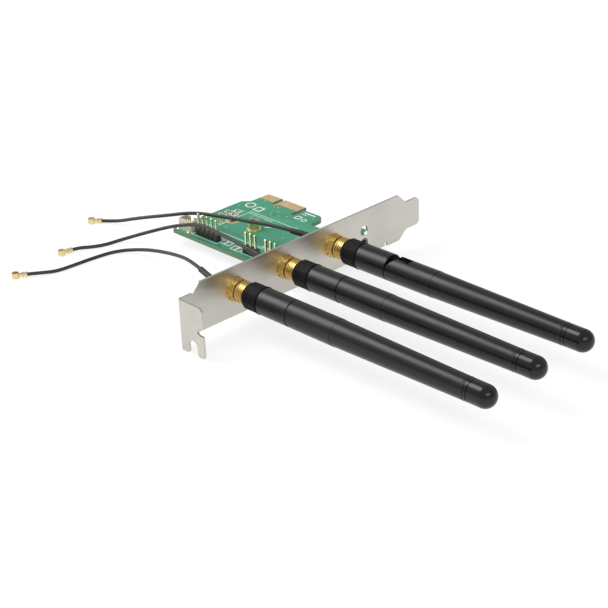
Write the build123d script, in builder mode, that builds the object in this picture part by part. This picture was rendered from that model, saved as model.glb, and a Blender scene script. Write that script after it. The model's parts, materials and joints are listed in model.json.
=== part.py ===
from build123d import *
from math import pi, radians, tan
import os

# An adapter card that carries a small wireless module in a PCI Express x1 slot,
# with three hinged antennas on its slot bracket and three aerial leads inside.
# Millimetres. X runs along the bracket from its bent tab to its tongue, -Y points out
# of the computer along the antennas, +Z from the solder side to the component side.
# The origin is on the surface the card stands on, below the middle of the card.

# Bracket: one folded sheet
bracket_length = 120.02
bracket_width = 18.42
sheet = 0.86
tab_drop = 3.6
tab_height = 18.95
tab_depth = 11.5
tab_chamfer = 1.2
bend_radius = 1.3
inner_bend_radius = 0.4
corner_round = 0.4
full_width_start = 9.3
full_width_end = 108.7
lower_step_start = 2.5
lower_step_end = 6.1
tongue_start = 112.8
tongue_width = 11.0
tongue_low = 3.5
tongue_round = 1.8
screw_slot_width = 4.42
screw_slot_depth = 5.4
screw_slot_out = 6.0
leg_round = 1.1
side_notch_width = 2.8
side_notch_depth = 3.0
side_notch_height = 9.8
indicator_hole = 3.8
indicator_along = 89.8
indicator_heights = (10.4, 5.5)

# Ears bent back from the bracket's lower edge, under the board
ear_depth = 11.0
ear_width = 9.0
first_ear = 59.0
second_ear_inset = 12.7
ear_round = 2.0
ear_relief_width = 1.4
ear_relief_height = 1.7
ear_screw_back = 6.5

# Board: its steps lie this far inside the fingers' edge
board_thickness = 1.57
board_start = 55.5
board_reach = 69.8
board_front_gap = 0.5
finger_edge = 104.5
shelf_inset = 0.5
shelf_reach = 16.0
waist_inset = 11.2
rear_cut_inset = 13.0
lobe_inset = 2.9
lobe_reaches = (32.5, 43.5)
lobe_round = 3.5
slot_inset = 9.5
finger_depth = 6.4
finger_reaches = (45.5, 57.15, 59.05, 66.9)
bevel_depth = 0.4
bevel_length = 1.2
board_round = 0.6

# Gold on the board
plating = 0.04
contact_pitch = 1.0
contact_width = 0.7
contact_length = 4.4
contact_margin = 0.825
contacts_before_key = 11
contacts_after_key = 7
ring_outer = 2.9
screw_ring_outer = 3.4

# Module bay: edge socket, standoff and the screw that holds the module
module_along = 76.2
socket_width = 22.0
socket_depth = 8.0
socket_back = 9.6
socket_height = 4.2
socket_slot_width = 20.2
socket_slot_height = 0.95
socket_slot_depth = 6.0
module_seat = 2.45
key_offset = -2.625
key_width = 1.1
socket_pitch = 0.5
socket_positions = 38
standoff_back = 46.0
long_module_back = 58.0
module_hole_radius = 1.75
standoff_radius = 2.2
module_screw_head = 2.3
module_screw_head_height = 1.1
module_screw_thread = 1.0

# Screws that hold the board on the ears
board_screw_thread = 1.5
board_screw_clearance = 1.6
board_screw_head = 2.8
board_screw_head_height = 1.9
thread_gap = 0.03

# Pin headers, in from the board's edge nearest the tab
pitch = 2.54
pin_side = 0.64
pin_hole = 0.5
pin_rise = 8.4
pin_tail = 0.9
pin_point = 0.17
header_notch = 0.4
header_height = 2.54
usb_header_from_edge = 3.9
usb_header_back = 53.4
usb_header_pins_count = 5
jumper_from_edge = 4.1
jumper_backs = (29.4, 18.6)
jumper_pins_count = 3

# Small connector at the board's rear corner
corner_from_edge = 4.7
corner_back = 65.4
corner_width = 4.4
corner_length = 7.4
corner_height = 4.0
corner_wall = 0.6
corner_pins_count = 4
corner_pitch = 1.25
corner_pin_side = 0.5

# Small parts soldered flat: length, width, height, and places inside the fingers' edge and
# back from the bracket, and one more that is placed from the board's edge nearest the tab
capacitor_size = (1.0, 1.7, 0.9)
capacitor_insets = ((7.7, 54.8), (23.6, 65.4), (27.2, 65.4), (14.1, 20.5), (14.1, 23.4))
capacitor_from_edge = (16.0, 60.4)
resistor_size = (0.9, 1.6, 0.5)
resistor_insets = ((20.7, 63.4), (24.0, 62.2), (12.5, 12.6), (9.9, 12.6))
resistor_from_edge = (10.9, 62.6)

# Aerial jacks through the bracket
first_jack = 25.75
jack_pitch = 24.1
jack_count = 3
jack_height = 9.9
jack_hole = 6.5
barrel_radius = 3.175
barrel_end = 9.5
flange_flats = 8.0
flange_thickness = 2.2
jack_shoulder_radius = 2.5
jack_shoulder_length = 2.0
ferrule_radius = 1.55
ferrule_length = 3.0
jack_bore = 2.3
jack_bore_floor = 1.0
insulator_end = 7.5
contact_radius = 0.65
contact_end = 9.0
washer_radius = 4.5
washer_thickness = 0.6
washer_teeth = 14
nut_thickness = 2.2
nut_corner_radius = 4.25
thread_clearance = 0.03

# Antenna, measured outwards from the bracket's face
coupling_start = 3.3
coupling_front_radius = 4.1
coupling_grooves = (4.15, 5.2, 6.2)
coupling_groove_width = 0.28
coupling_groove_radius = 3.75
coupling_ring_radius = 4.2
collar_chamfer = (1.3, 0.85)
collar_start = 7.1
collar_radius = 5.1
coupling_radius = 4.0
coupling_end = 13.5
coupling_lip = 11.0
collar_end = 14.7
swivel_gap = 0.2
spindle_flange_radius = 3.1
spindle_radius = 2.5
spindle_end = 22.0
spindle_bead = (18.6, 19.6)
spindle_bead_radius = 2.85
running_gap = 0.05
base_radius = 4.9
shoulder = 28.8
hinge_gap = 0.25
hinge_out = 34.0
hinge_pin_radius = 1.0
hinge_pin_length = 7.6
hinge_running_gap = 0.06
tongue_thickness = 3.5
tongue_radius = 3.0
fin_thickness = 0.9
fin_radius = 3.55
slot_side_gap = 0.15
slot_end_gap = 0.2
slot_length = 3.75
knuckle_end = 50.0
spigot_radius = 3.1
spigot_length = 5.0
radome_root_radius = 4.8
radome_end_radius = 3.95
antenna_reach = 115.5
cap_length = 10.1
cap_spigot_radius = 2.55
cap_spigot_length = 3.0
cap_groove_start = 1.2
cap_groove_width = 0.4
cap_groove_depth = 0.22
seam = 0.06
hinge_seam = 0.2
feed_radius = 0.55
feed_start = 38.2
radiator_sleeve = (56.0, 80.0)
radiator_sleeve_radius = 2.0
radiator_whip_radius = 0.6
radiator_end_gap = 1.4

# Aerial leads: a sleeve from each jack, a thin coaxial lead, a small push-on plug
lead_radius = 0.685
sleeve_radius = 1.1
sleeve_straight = 5.2
arc_share = 0.45
plug_neck_length = 3.0
plug_neck_width = 1.2
plug_neck_height = 1.1
plug_bands = (0.0, 1.25)
plug_band_length = 0.85
plug_band_width = 1.9
plug_band_height = 1.7
plug_band_chamfer = 0.35
plug_height = 2.1
plug_ring_radius = 1.4
plug_bore = 1.05
plug_roof = 0.4
plug_core_radius = 0.95
plug_core_height = 1.2
plug_socket_radius = 0.3

# Places that follow from the sizes above
ear_starts = (first_ear, finger_edge - second_ear_inset)
shelf_end = finger_edge - shelf_inset
board_waist = finger_edge - waist_inset
rear_cut = finger_edge - rear_cut_inset
lobe_end = finger_edge - lobe_inset
slot_root = finger_edge - slot_inset
finger_root = finger_edge - finger_depth
radome_end = antenna_reach - cap_length
face_y = (antenna_reach - board_reach) / 2
back_y = face_y + sheet
tab_x = -bracket_length / 2
edge_z = tab_drop
bracket_top = edge_z + bracket_width
board_low = edge_z + sheet
board_top = board_low + board_thickness
axis_z = edge_z + jack_height
jack_x = [tab_x + first_jack + jack_pitch * k for k in range(jack_count)]
jack_back = sheet + flange_thickness + jack_shoulder_length + ferrule_length
sleeve_start_y = face_y + jack_back

# Which way each hinge opens, and the open side of each plug: -1 down, 1 up
hinge_sides = (-1, -1, 1)
plug_sides = (1, -1, -1)

# The leads' routes, from where each leaves its sleeve to where its plug begins
lead_routes = (
    (
        (-31.9, 44.1, 13.5), (-29.7, 51.6, 13.4), (-25.1, 63.5, 10.4), (-21.2, 79.5, 6.1),
        (-19.4, 94.0, 2.0), (-24.8, 102.4, 0.7), (-34.7, 104.0, 0.7), (-44.4, 104.5, 0.7),
        (-51.8, 105.2, 0.7), (-56.9, 107.8, 1.1), (-61.0, 110.7, 1.1),
    ),
    (
        (-9.5, 43.5, 13.9), (-8.8, 51.4, 14.3), (-6.5, 62.5, 13.5), (-4.2, 76.0, 12.6),
        (-6.2, 88.5, 9.2), (-10.2, 99.0, 5.0), (-16.3, 109.1, 0.8), (-24.2, 110.2, 0.7),
        (-29.6, 112.3, 0.7), (-32.9, 114.9, 1.1), (-36.3, 115.7, 1.1),
    ),
    (
        (12.2, 43.3, 14.0), (10.3, 51.1, 14.5), (8.0, 62.3, 13.7), (5.6, 75.0, 12.9),
        (2.4, 87.5, 12.1), (-3.6, 97.0, 10.1), (-6.5, 110.9, 6.0), (-6.8, 122.4, 1.6),
        (-8.7, 126.1, 1.1), (-11.1, 129.1, 1.1),
    ),
)

finished = {}


def along(distance):
    """X of a place measured along the bracket from the tab's outer face."""
    return tab_x + distance


def behind(distance):
    """Y of a place measured from the bracket's front face towards the board's rear."""
    return face_y + distance


def keep(name, piece):
    """Labels a finished piece and keeps it for writing."""
    piece.part.label = name
    finished[name] = piece.part


def antenna_plane(x, side=1):
    """A plane through an antenna's axis: local x runs outwards, local y to the hinge's open side."""
    return Plane(origin=(x, face_y, axis_z), x_dir=(0, -1, 0), z_dir=(-side, 0, 0))


def turned(x, profile):
    """A turned piece on an antenna's axis from its outline of (outward, radius) points."""
    plane = antenna_plane(x)
    with BuildPart() as piece:
        with BuildSketch(plane):
            with BuildLine():
                Polyline(*profile, close=True)
            make_face()
        revolve(axis=Axis(plane.origin, plane.x_dir))
    return piece


def union_of(pieces):
    """Several separate solids as one piece."""
    with BuildPart() as group:
        for piece in pieces:
            add(piece.part)
    return group


# Bracket
tab_top = tab_height
tongue_end_low = edge_z + tongue_low
tongue_end_high = tongue_end_low + tongue_width
upper_step = full_width_start - (bracket_top - tab_top)
face_plane = Plane.XZ.offset(-face_y)
screw_slot_y = face_y - screw_slot_out
screw_slot_straight = screw_slot_depth - screw_slot_width / 2
side_notch_straight = side_notch_depth - side_notch_width / 2

with BuildPart() as bracket:
    with BuildSketch(face_plane):
        with BuildLine():
            FilletPolyline(
                (tab_x, 0),
                (along(lower_step_start), 0),
                (along(lower_step_end), edge_z),
                (along(full_width_end), edge_z),
                (along(tongue_start), tongue_end_low),
                (along(bracket_length), tongue_end_low),
                (along(bracket_length), tongue_end_high),
                (along(tongue_start), tongue_end_high),
                (along(full_width_end), bracket_top),
                (along(full_width_start), bracket_top),
                (along(upper_step), tab_top),
                (tab_x, tab_top),
                radius=[0] + [corner_round] * 4 + [tongue_round] * 2 + [corner_round] * 4 + [0],
                close=True,
            )
        make_face()
    extrude(amount=-sheet)

    with BuildSketch(Plane.YZ.offset(tab_x)) as tab:
        with BuildLine():
            Polyline(
                (back_y, 0),
                (face_y - tab_depth, 0),
                (face_y - tab_depth, tab_top - tab_chamfer),
                (face_y - tab_depth + tab_chamfer, tab_top),
                (back_y, tab_top),
                close=True,
            )
        make_face()
        with Locations((screw_slot_y, 0)):
            Rectangle(screw_slot_width, 2 * screw_slot_straight, mode=Mode.SUBTRACT)
        with Locations((screw_slot_y, screw_slot_straight)):
            Circle(screw_slot_width / 2, mode=Mode.SUBTRACT)
        leg_corners = tab.vertices().group_by(Axis.Y)[0].sort_by(Axis.X)
        fillet(leg_corners[0:3], leg_round)
        with Locations((face_y - tab_depth, side_notch_height)):
            Rectangle(2 * side_notch_straight, side_notch_width, mode=Mode.SUBTRACT)
        with Locations((face_y - tab_depth + side_notch_straight, side_notch_height)):
            Circle(side_notch_width / 2, mode=Mode.SUBTRACT)
    extrude(amount=sheet)
    upright = bracket.edges().filter_by(Axis.Z)
    outer_bend = upright.group_by(Axis.X)[0].group_by(Axis.Y)[-1]
    fillet(outer_bend, bend_radius)
    inner_bend = bracket.edges().filter_by(Axis.Z).filter_by(
        lambda edge: abs(edge.center().X - tab_x - sheet) < 0.01 and abs(edge.center().Y - face_y) < 0.01
    )
    fillet(inner_bend, inner_bend_radius)

    with BuildSketch(face_plane):
        with Locations(*[(x, axis_z) for x in jack_x]):
            Circle(jack_hole / 2)
        with Locations(*[(along(indicator_along), edge_z + height) for height in indicator_heights]):
            Circle(indicator_hole / 2)
        for start in ear_starts:
            relief_centres = (start - ear_relief_width / 2, start + ear_width + ear_relief_width / 2)
            with Locations(*[(along(x), edge_z) for x in relief_centres]):
                Rectangle(ear_relief_width, 2 * ear_relief_height)
    extrude(amount=-sheet, mode=Mode.SUBTRACT)

    for start in ear_starts:
        with BuildSketch(Plane.XY.offset(edge_z)) as ear:
            with Locations((along(start + ear_width / 2), behind(ear_depth / 2))):
                Rectangle(ear_width, ear_depth)
            fillet(ear.vertices().group_by(Axis.Y)[-1], ear_round)
            with Locations((along(start + ear_width / 2), behind(ear_screw_back))):
                Circle(board_screw_thread + thread_gap, mode=Mode.SUBTRACT)
        extrude(amount=sheet)
        ear_bend = bracket.edges().filter_by(Axis.X).filter_by(
            lambda edge: abs(edge.center().Z - edge_z) < 0.01
            and abs(edge.center().Y - face_y) < 0.01
            and along(start) < edge.center().X < along(start + ear_width)
        )
        fillet(ear_bend, sheet - 0.06)
keep("bracket", bracket)

# Board
screw_centres = [(along(start + ear_width / 2), behind(ear_screw_back)) for start in ear_starts]
usb_centre = (along(board_start + usb_header_from_edge), behind(usb_header_back))
jumper_x = along(board_start + jumper_from_edge)
usb_pins = [
    (usb_centre[0], usb_centre[1] + (k - (usb_header_pins_count - 1) / 2) * pitch)
    for k in range(usb_header_pins_count)
]
jumper_places = [
    (jumper_x, behind(back) + (k - (jumper_pins_count - 1) / 2) * pitch)
    for back in jumper_backs
    for k in range(jumper_pins_count)
]
standoff_centre = (along(module_along), behind(standoff_back))
long_module_centre = (along(module_along), behind(long_module_back))
first_reach, key_start, key_end, last_reach = finger_reaches

with BuildPart() as circuit_board:
    with BuildSketch(Plane.XY.offset(board_low)):
        with BuildLine():
            outline = (
                (board_start, sheet + board_front_gap, board_round),
                (shelf_end, sheet + board_front_gap, board_round),
                (shelf_end, shelf_reach, board_round),
                (board_waist, shelf_reach, board_round),
                (board_waist, lobe_reaches[0], board_round),
                (lobe_end, lobe_reaches[0], lobe_round),
                (lobe_end, lobe_reaches[1], board_round),
                (slot_root, lobe_reaches[1], board_round),
                (slot_root, first_reach, board_round),
                (finger_edge, first_reach, board_round),
                (finger_edge, key_start, board_round / 2),
                (finger_root, key_start, board_round),
                (finger_root, key_end, board_round),
                (finger_edge, key_end, board_round / 2),
                (finger_edge, last_reach, board_round),
                (rear_cut + board_reach - last_reach, last_reach, board_round),
                (rear_cut, board_reach, board_round),
                (board_start, board_reach, board_round),
            )
            FilletPolyline(
                *[(along(x), behind(y)) for x, y, _ in outline],
                radius=[corner for _, _, corner in outline],
                close=True,
            )
        make_face()
        with Locations(*screw_centres):
            Circle(board_screw_clearance, mode=Mode.SUBTRACT)
        with Locations(standoff_centre, long_module_centre):
            Circle(module_hole_radius, mode=Mode.SUBTRACT)
        with Locations(*usb_pins, *jumper_places):
            Circle(pin_hole, mode=Mode.SUBTRACT)
    extrude(amount=board_thickness)
    with BuildSketch(Plane.XZ.offset(-behind(first_reach - contact_margin))):
        for surface, inwards in ((board_top, -1), (board_low, 1)):
            with BuildLine():
                Polyline(
                    (along(finger_edge) + plating, surface - inwards * plating),
                    (along(finger_edge) + plating, surface + inwards * bevel_depth),
                    (along(finger_edge), surface + inwards * bevel_depth),
                    (along(finger_edge - bevel_length), surface),
                    (along(finger_edge - bevel_length), surface - inwards * plating),
                    close=True,
                )
            make_face()
    extrude(amount=-(last_reach - first_reach + 2 * contact_margin), mode=Mode.SUBTRACT)
keep("circuit_board", circuit_board)

contact_backs = [first_reach + contact_margin + contact_pitch * k for k in range(contacts_before_key)]
contact_backs += [key_end + contact_margin + contact_pitch * k for k in range(contacts_after_key)]
contact_middle = along(finger_edge - bevel_length - contact_length / 2)
with BuildPart() as edge_contacts:
    for surface in (board_top, board_low - plating):
        with BuildSketch(Plane.XY.offset(surface)):
            with Locations(*[(contact_middle, behind(back)) for back in contact_backs]):
                Rectangle(contact_length, contact_width)
        extrude(amount=plating)
keep("edge_contacts", edge_contacts)

with BuildPart() as plated_rings:
    with BuildSketch(Plane.XY.offset(board_top)):
        with Locations(standoff_centre, long_module_centre):
            Circle(ring_outer)
            Circle(module_hole_radius, mode=Mode.SUBTRACT)
        with Locations(*screw_centres):
            Circle(screw_ring_outer)
            Circle(board_screw_clearance, mode=Mode.SUBTRACT)
    extrude(amount=plating)
keep("plated_rings", plated_rings)

# Module bay
socket_middle_y = behind(socket_back + socket_depth / 2)
socket_mouth_y = behind(socket_back + socket_depth)
slot_floor = board_top + module_seat - (socket_slot_height - 0.8) / 2
with BuildPart() as socket_housing:
    with BuildSketch(Plane.XY.offset(board_top)):
        with Locations((along(module_along), socket_middle_y)):
            Rectangle(socket_width, socket_depth)
    extrude(amount=socket_height)
    chamfer(socket_housing.faces().sort_by(Axis.Z)[-1].edges().filter_by(Axis.X), 0.5)
    with BuildSketch(Plane.XZ.offset(-socket_mouth_y)):
        with Locations((along(module_along), slot_floor + socket_slot_height / 2)):
            Rectangle(socket_slot_width, socket_slot_height)
        with Locations((along(module_along + key_offset), slot_floor + socket_slot_height / 2)):
            Rectangle(key_width, 2 * socket_slot_height, mode=Mode.SUBTRACT)
    extrude(amount=socket_slot_depth, mode=Mode.SUBTRACT)
keep("socket_housing", socket_housing)

socket_offsets = [(k - (socket_positions - 1) / 2) * socket_pitch for k in range(socket_positions)]
socket_offsets = [x for x in socket_offsets if abs(x - key_offset) > key_width]
blade_width = 0.22
blade_thickness = 0.16
blade_length = 4.0
tail_length = 1.1
with BuildPart() as socket_contacts:
    upper_blade = slot_floor + socket_slot_height - blade_thickness
    for surface, shift in ((slot_floor, 0), (upper_blade, socket_pitch / 2)):
        with BuildSketch(Plane.XY.offset(surface)):
            middle = socket_mouth_y - socket_slot_depth + blade_length / 2
            with Locations(*[(along(module_along + x + shift), middle) for x in socket_offsets]):
                Rectangle(blade_width, blade_length)
        extrude(amount=blade_thickness)
    tail_places = [(along(module_along + x), behind(socket_back) - tail_length / 2) for x in socket_offsets]
    tail_places += [
        (along(module_along + x + socket_pitch / 2), socket_mouth_y + tail_length / 2) for x in socket_offsets
    ]
    with BuildSketch(Plane.XY.offset(board_top)):
        with Locations(*tail_places):
            Rectangle(blade_width, tail_length)
    extrude(amount=blade_thickness)
keep("socket_contacts", socket_contacts)

standoff_low = board_top + plating
module_thickness = 0.8
standoff_top = board_top + module_seat
with BuildPart() as module_standoff:
    with BuildSketch(Plane.XY.offset(standoff_low)):
        with Locations(standoff_centre):
            Circle(standoff_radius)
    extrude(amount=standoff_top - standoff_low)
    chamfer(module_standoff.faces().sort_by(Axis.Z)[-1].edges(), 0.3)
    with BuildSketch(Plane.XY.offset(board_low)):
        with Locations(standoff_centre):
            Circle(module_hole_radius)
    extrude(amount=standoff_low - board_low)
    with BuildSketch(Plane.XY.offset(board_low)):
        with Locations(standoff_centre):
            Circle(module_screw_thread + thread_gap)
    extrude(amount=standoff_top - board_low, mode=Mode.SUBTRACT)
keep("module_standoff", module_standoff)


def cross_recess(top, centre, reach, width, depth):
    """Cuts a cross for a screwdriver into a screw's head."""
    with BuildSketch(Plane.XY.offset(top)) as cross:
        with Locations(centre):
            Rectangle(reach, width)
            Rectangle(width, reach)
    extrude(cross.sketch, amount=-depth, mode=Mode.SUBTRACT)


module_screw_top = standoff_top + module_screw_head_height
with BuildPart() as module_screw:
    with BuildSketch(Plane.XY.offset(standoff_top)):
        with Locations(standoff_centre):
            Circle(module_screw_head)
    extrude(amount=module_screw_head_height)
    fillet(module_screw.faces().sort_by(Axis.Z)[-1].edges(), 0.4)
    cross_recess(module_screw_top, standoff_centre, 2.2, 0.55, 0.6)
    with BuildSketch(Plane.XY.offset(board_low + plating)):
        with Locations(standoff_centre):
            Circle(module_screw_thread)
    extrude(amount=standoff_top - board_low - plating)
keep("module_screw", module_screw)

board_screw_seat = board_top + plating
board_screw_top = board_screw_seat + board_screw_head_height
with BuildPart() as board_screws:
    with BuildSketch(Plane.XY.offset(board_screw_seat)):
        with Locations(*screw_centres):
            Circle(board_screw_head)
    extrude(amount=board_screw_head_height)
    fillet(board_screws.faces().group_by(Axis.Z)[-1].edges(), 0.9)
    for centre in screw_centres:
        cross_recess(board_screw_top, centre, 2.6, 0.6, 1.0)
    with BuildSketch(Plane.XY.offset(edge_z)):
        with Locations(*screw_centres):
            Circle(board_screw_thread)
    extrude(amount=board_screw_seat - edge_z)
keep("board_screws", board_screws)


def header_base(centre, count):
    """The plastic strip of a pin header, with a waist between each pair of pins."""
    with BuildSketch(Plane.XY.offset(board_top)) as strip:
        with Locations(centre):
            with GridLocations(pitch, pitch, 1, count):
                half = pitch / 2
                inset = half - header_notch
                Polygon(
                    (-half, -inset), (-inset, -half), (inset, -half), (half, -inset),
                    (half, inset), (inset, half), (-inset, half), (-half, inset),
                    align=None,
                )
    extrude(strip.sketch, amount=header_height)


def header_holes(places):
    """Square holes that the pins fill."""
    with BuildSketch(Plane.XY.offset(board_top)) as holes:
        with Locations(*places):
            Rectangle(pin_side, pin_side)
    extrude(holes.sketch, amount=header_height, mode=Mode.SUBTRACT)


def header_pins(places):
    """Square pins with pointed ends, through the strip and the board."""
    with BuildPart() as pins:
        with BuildSketch(Plane.XY.offset(board_low - pin_tail)):
            with Locations(*places):
                Rectangle(pin_side, pin_side)
        extrude(amount=board_thickness + pin_tail + pin_rise)
        layers = pins.faces().group_by(Axis.Z)
        chamfer(layers[-1].edges(), pin_point)
        chamfer(pins.faces().group_by(Axis.Z)[0].edges(), pin_point)
    return pins


with BuildPart() as usb_header_base:
    header_base(usb_centre, usb_header_pins_count)
    header_holes(usb_pins)
keep("usb_header_base", usb_header_base)
keep("usb_header_pins", header_pins(usb_pins))

with BuildPart() as jumper_bases:
    for back in jumper_backs:
        header_base((jumper_x, behind(back)), jumper_pins_count)
    header_holes(jumper_places)
keep("jumper_bases", jumper_bases)
keep("jumper_pins", header_pins(jumper_places))

# Corner connector
corner_centre = (along(board_start + corner_from_edge), behind(corner_back))
with BuildPart() as corner_housing:
    with BuildSketch(Plane.XY.offset(board_top)):
        with Locations(corner_centre):
            Rectangle(corner_width, corner_length)
    extrude(amount=corner_height)
    chamfer(corner_housing.edges().filter_by(Axis.Z), 0.3)
    with BuildSketch(Plane.XY.offset(board_top + corner_wall)):
        with Locations(corner_centre):
            Rectangle(corner_width - 2 * corner_wall, corner_length - 2 * corner_wall)
    extrude(amount=corner_height - corner_wall, mode=Mode.SUBTRACT)
    with BuildSketch(Plane.XY.offset(board_top + corner_height)):
        with Locations((corner_centre[0] + corner_width / 2, corner_centre[1])):
            Rectangle(2 * corner_wall, corner_length / 3)
    extrude(amount=-corner_height / 2, mode=Mode.SUBTRACT)
keep("corner_housing", corner_housing)

corner_pin_places = [
    (corner_centre[0], corner_centre[1] + (k - (corner_pins_count - 1) / 2) * corner_pitch)
    for k in range(corner_pins_count)
]
with BuildPart() as corner_pins:
    with BuildSketch(Plane.XY.offset(board_top + corner_wall)):
        with Locations(*corner_pin_places):
            Rectangle(corner_pin_side, corner_pin_side)
    extrude(amount=corner_height - 2 * corner_wall)
    chamfer(corner_pins.faces().group_by(Axis.Z)[-1].edges(), 0.12)
keep("corner_pins", corner_pins)


def chips(size, insets, from_edge):
    """Small blocks soldered on the board."""
    length, width, height = size
    places = [(finger_edge - x, y) for x, y in insets]
    places.append((board_start + from_edge[0], from_edge[1]))
    with BuildPart() as group:
        with BuildSketch(Plane.XY.offset(board_top)):
            with Locations(*[(along(x), behind(y)) for x, y in places]):
                Rectangle(length, width)
        extrude(amount=height)
    return group


keep("capacitors", chips(capacitor_size, capacitor_insets, capacitor_from_edge))
keep("resistors", chips(resistor_size, resistor_insets, resistor_from_edge))

# Jacks, their nuts and washers
flange_radius = flange_flats / 2
shoulder_start = sheet + flange_thickness
shoulder_end = shoulder_start + jack_shoulder_length


def jack(x):
    """A threaded barrel with a hexagon flange behind the bracket and a ferrule for the lead."""
    plane = antenna_plane(x)
    with BuildPart() as piece:
        with BuildSketch(plane):
            with BuildLine():
                Polyline(
                    (-jack_back, 0),
                    (-jack_back, ferrule_radius),
                    (-shoulder_end, ferrule_radius),
                    (-shoulder_end, jack_shoulder_radius),
                    (-shoulder_start, jack_shoulder_radius),
                    (-shoulder_start, barrel_radius),
                    (barrel_end - 0.3, barrel_radius),
                    (barrel_end, barrel_radius - 0.3),
                    (barrel_end, jack_bore),
                    (jack_bore_floor, jack_bore),
                    (jack_bore_floor, 0),
                    close=True,
                )
            make_face()
        revolve(axis=Axis(plane.origin, plane.x_dir))
        with BuildSketch(Plane.XZ.offset(-back_y)):
            with Locations((x, axis_z)):
                RegularPolygon(flange_radius, 6, major_radius=False, rotation=30)
        extrude(amount=-flange_thickness)
    return piece


for k, x in enumerate(jack_x, start=1):
    keep(f"jack_{k}", jack(x))

with BuildPart() as panel_nuts:
    with BuildSketch(Plane.XZ.offset(-face_y + washer_thickness)):
        with Locations(*[(x, axis_z) for x in jack_x]):
            RegularPolygon(flange_radius, 6, major_radius=False)
            Circle(nut_corner_radius, mode=Mode.INTERSECT)
            Circle(barrel_radius + thread_clearance, mode=Mode.SUBTRACT)
    extrude(amount=nut_thickness)
keep("panel_nuts", panel_nuts)

with BuildPart() as lock_washers:
    with BuildSketch(face_plane):
        with Locations(*[(x, axis_z) for x in jack_x]):
            Circle(washer_radius)
            Circle(barrel_radius + thread_clearance, mode=Mode.SUBTRACT)
            with PolarLocations(washer_radius, washer_teeth):
                Rectangle(0.8, 0.5, mode=Mode.SUBTRACT)
    extrude(amount=washer_thickness)
keep("lock_washers", lock_washers)

insulators = [
    turned(
        x,
        (
            (jack_bore_floor, contact_radius),
            (jack_bore_floor, jack_bore),
            (insulator_end, jack_bore),
            (insulator_end, contact_radius),
        ),
    )
    for x in jack_x
]
keep("jack_insulators", union_of(insulators))

contacts = [
    turned(
        x,
        (
            (jack_bore_floor, 0),
            (jack_bore_floor, contact_radius),
            (contact_end, contact_radius),
            (contact_end, contact_radius / 2),
            (insulator_end, contact_radius / 2),
            (insulator_end, 0),
        ),
    )
    for x in jack_x
]
keep("jack_contacts", union_of(contacts))

# Antennas
spindles = [
    turned(
        x,
        (
            (barrel_end, 0),
            (barrel_end, spindle_flange_radius),
            (coupling_lip - 0.1, spindle_flange_radius),
            (coupling_lip - 0.1, spindle_radius),
            (spindle_bead[0], spindle_radius),
            (spindle_bead[0], spindle_bead_radius),
            (spindle_bead[1], spindle_bead_radius),
            (spindle_bead[1], spindle_radius),
            (spindle_end, spindle_radius),
            (spindle_end, 0),
        ),
    )
    for x in jack_x
]
keep("swivel_spindles", union_of(spindles))


def coupling_nut(x):
    """The gold nut that screws onto the jack, with ring grooves where it shows."""
    bore = barrel_radius + thread_clearance
    rings = []
    for start in coupling_grooves:
        end = start + coupling_groove_width
        rings += [
            (start - 0.1, coupling_ring_radius),
            (start, coupling_ring_radius - 0.1),
            (start, coupling_groove_radius),
            (end, coupling_groove_radius),
            (end, coupling_ring_radius - 0.1),
            (end + 0.1, coupling_ring_radius),
        ]
    return turned(
        x,
        (
            (coupling_start, bore),
            (coupling_start, coupling_front_radius - 0.15),
            (coupling_start + 0.15, coupling_front_radius),
            *rings,
            (collar_start, coupling_ring_radius),
            (collar_start, coupling_radius),
            (coupling_end, coupling_radius),
            (coupling_end, spindle_radius + 2 * running_gap),
            (coupling_lip, spindle_radius + 2 * running_gap),
            (coupling_lip, bore),
        ),
    )


def collar(x):
    """The black grip over the nut."""
    return turned(
        x,
        (
            (collar_start, coupling_radius),
            (collar_start, collar_radius - collar_chamfer[1]),
            (collar_start + collar_chamfer[0], collar_radius),
            (collar_end - 0.2, collar_radius),
            (collar_end, collar_radius - 0.2),
            (collar_end, spindle_radius + 2 * running_gap),
            (coupling_end, spindle_radius + 2 * running_gap),
            (coupling_end, coupling_radius),
        ),
    )


base_start = collar_end + swivel_gap
base_bore = spindle_radius + running_gap
bead_room = spindle_bead_radius + 2 * running_gap
bead_slack = 0.2


def antenna_base(x, side):
    """The swivelling base: a sleeve on the spindle, and the hinge's tongue with its thin fin."""
    plane = antenna_plane(x, side)
    with BuildPart() as piece:
        with BuildSketch(plane):
            with BuildLine():
                Polyline(
                    (base_start, base_bore),
                    (base_start, base_radius - 0.2),
                    (base_start + 0.2, base_radius),
                    (shoulder - hinge_seam, base_radius),
                    (shoulder, base_radius - hinge_seam),
                    (shoulder, 0),
                    (spindle_end + 0.3, 0),
                    (spindle_end + 0.3, base_bore),
                    (spindle_bead[1] + bead_slack, base_bore),
                    (spindle_bead[1] + bead_slack, bead_room),
                    (spindle_bead[0] - bead_slack, bead_room),
                    (spindle_bead[0] - bead_slack, base_bore),
                    close=True,
                )
            make_face()
        revolve(axis=Axis(plane.origin, plane.x_dir))
        for thickness, radius in ((tongue_thickness, tongue_radius), (fin_thickness, fin_radius)):
            with BuildSketch(plane):
                with Locations(((shoulder + hinge_out) / 2, 0)):
                    Rectangle(hinge_out - shoulder, 2 * radius)
                with Locations((hinge_out, 0)):
                    Circle(radius)
            extrude(amount=thickness / 2, both=True)
        with BuildSketch(plane):
            with Locations((hinge_out, 0)):
                Circle(hinge_pin_radius + hinge_running_gap)
        extrude(amount=tongue_thickness, both=True, mode=Mode.SUBTRACT)
    return piece


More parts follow.
